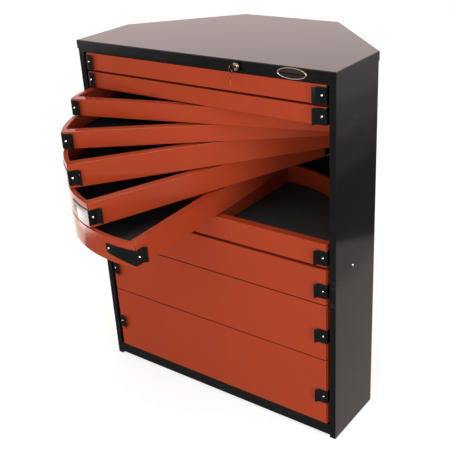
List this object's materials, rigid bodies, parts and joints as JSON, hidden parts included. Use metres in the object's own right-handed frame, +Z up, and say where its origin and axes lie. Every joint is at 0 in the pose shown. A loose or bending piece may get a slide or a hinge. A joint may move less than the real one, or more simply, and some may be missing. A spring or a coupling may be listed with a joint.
{
  "type": "corner tool cabinet",
  "caption": "Six-sided steel corner cabinet whose half-disc drawers swing on one upright shaft, with a folded lid, corner finger pulls and a key lock.",
  "frame": {"origin": "on the floor, on the axis of the upright shaft that every drawer turns on", "axes": "+Z up along the shaft, +X to the right of someone facing the front, +Y to the back"},
  "size_m": [0.914, 0.897, 1.156],
  "materials": {
    "cabinet_paint": "gloss black paint",
    "foot_paint": "satin black paint",
    "drawer_paint": "satin-gloss orange-red paint",
    "pull_paint": "high-gloss black paint",
    "mat_rubber": "matte black ribbed rubber",
    "shaft_steel": "bright drawn steel",
    "lock_brass": "polished brass",
    "lock_steel": "zinc-plated steel",
    "key_nickel": "nickel-plated"
  },
  "bodies": {
    "cabinet": {"top_lid": "cabinet_paint", "side_panel_left": "cabinet_paint", "side_panel_right": "cabinet_paint", "rear_panel_left": "cabinet_paint", "rear_panel_right": "cabinet_paint", "back_panel": "cabinet_paint", "base_pan": "cabinet_paint", "bottom_rail": "cabinet_paint", "header_rail": "cabinet_paint", "top_brace": "cabinet_paint", "side_stiffener_left": "cabinet_paint", "side_stiffener_right": "cabinet_paint", "pivot_shaft": "shaft_steel", "shaft_foot": "foot_paint", "shaft_head": "foot_paint", "lock_barrel": "lock_brass", "lock_clip": "lock_steel"},
    "drawer_01": {"drawer_01_tray": "drawer_paint", "drawer_01_mat": "mat_rubber", "drawer_01_pulls": "pull_paint"},
    "drawer_02": {"drawer_02_tray": "drawer_paint", "drawer_02_mat": "mat_rubber", "drawer_02_pulls": "pull_paint"},
    "drawer_03": {"drawer_03_tray": "drawer_paint", "drawer_03_mat": "mat_rubber", "drawer_03_pulls": "pull_paint"},
    "drawer_04": {"drawer_04_tray": "drawer_paint", "drawer_04_mat": "mat_rubber", "drawer_04_pulls": "pull_paint"},
    "drawer_05": {"drawer_05_tray": "drawer_paint", "drawer_05_mat": "mat_rubber", "drawer_05_pulls": "pull_paint"},
    "drawer_06": {"drawer_06_tray": "drawer_paint", "drawer_06_mat": "mat_rubber", "drawer_06_pulls": "pull_paint"},
    "drawer_07": {"drawer_07_tray": "drawer_paint", "drawer_07_mat": "mat_rubber", "drawer_07_pulls": "pull_paint"},
    "drawer_08": {"drawer_08_tray": "drawer_paint", "drawer_08_mat": "mat_rubber", "drawer_08_pulls": "pull_paint"},
    "drawer_09": {"drawer_09_tray": "drawer_paint", "drawer_09_mat": "mat_rubber", "drawer_09_pulls": "pull_paint"},
    "drawer_10": {"drawer_10_tray": "drawer_paint", "drawer_10_mat": "mat_rubber", "drawer_10_pulls": "pull_paint"},
    "drawer_11": {"drawer_11_tray": "drawer_paint", "drawer_11_mat": "mat_rubber", "drawer_11_pulls": "pull_paint"},
    "lock_cylinder": {"lock_plug": "lock_brass", "lock_cam": "lock_steel", "key": "key_nickel"}
  },
  "joints": [
    {"name": "drawer_01_swing", "type": "hinge", "parent": "cabinet", "child": "drawer_01", "pos_m": [0, 0, 1.093], "axis": [0, 0, 1], "continuous": true},
    {"name": "drawer_02_swing", "type": "hinge", "parent": "cabinet", "child": "drawer_02", "pos_m": [0, 0, 1.037], "axis": [0, 0, 1], "continuous": true},
    {"name": "drawer_03_swing", "type": "hinge", "parent": "cabinet", "child": "drawer_03", "pos_m": [0, 0, 0.981], "axis": [0, 0, 1], "continuous": true},
    {"name": "drawer_04_swing", "type": "hinge", "parent": "cabinet", "child": "drawer_04", "pos_m": [0, 0, 0.925], "axis": [0, 0, 1], "continuous": true},
    {"name": "drawer_05_swing", "type": "hinge", "parent": "cabinet", "child": "drawer_05", "pos_m": [0, 0, 0.859], "axis": [0, 0, 1], "continuous": true},
    {"name": "drawer_06_swing", "type": "hinge", "parent": "cabinet", "child": "drawer_06", "pos_m": [0, 0, 0.783], "axis": [0, 0, 1], "continuous": true},
    {"name": "drawer_07_swing", "type": "hinge", "parent": "cabinet", "child": "drawer_07", "pos_m": [0, 0, 0.707], "axis": [0, 0, 1], "continuous": true},
    {"name": "drawer_08_swing", "type": "hinge", "parent": "cabinet", "child": "drawer_08", "pos_m": [0, 0, 0.631], "axis": [0, 0, 1], "continuous": true},
    {"name": "drawer_09_swing", "type": "hinge", "parent": "cabinet", "child": "drawer_09", "pos_m": [0, 0, 0.5315], "axis": [0, 0, 1], "continuous": true},
    {"name": "drawer_10_swing", "type": "hinge", "parent": "cabinet", "child": "drawer_10", "pos_m": [0, 0, 0.375], "axis": [0, 0, 1], "continuous": true},
    {"name": "drawer_11_swing", "type": "hinge", "parent": "cabinet", "child": "drawer_11", "pos_m": [0, 0, 0.163], "axis": [0, 0, 1], "continuous": true},
    {"name": "lock_turn", "type": "hinge", "parent": "cabinet", "child": "lock_cylinder", "pos_m": [0.148, -0.05, 1.137], "axis": [0, 1, 0], "range_deg": [0, 90]}
  ]
}
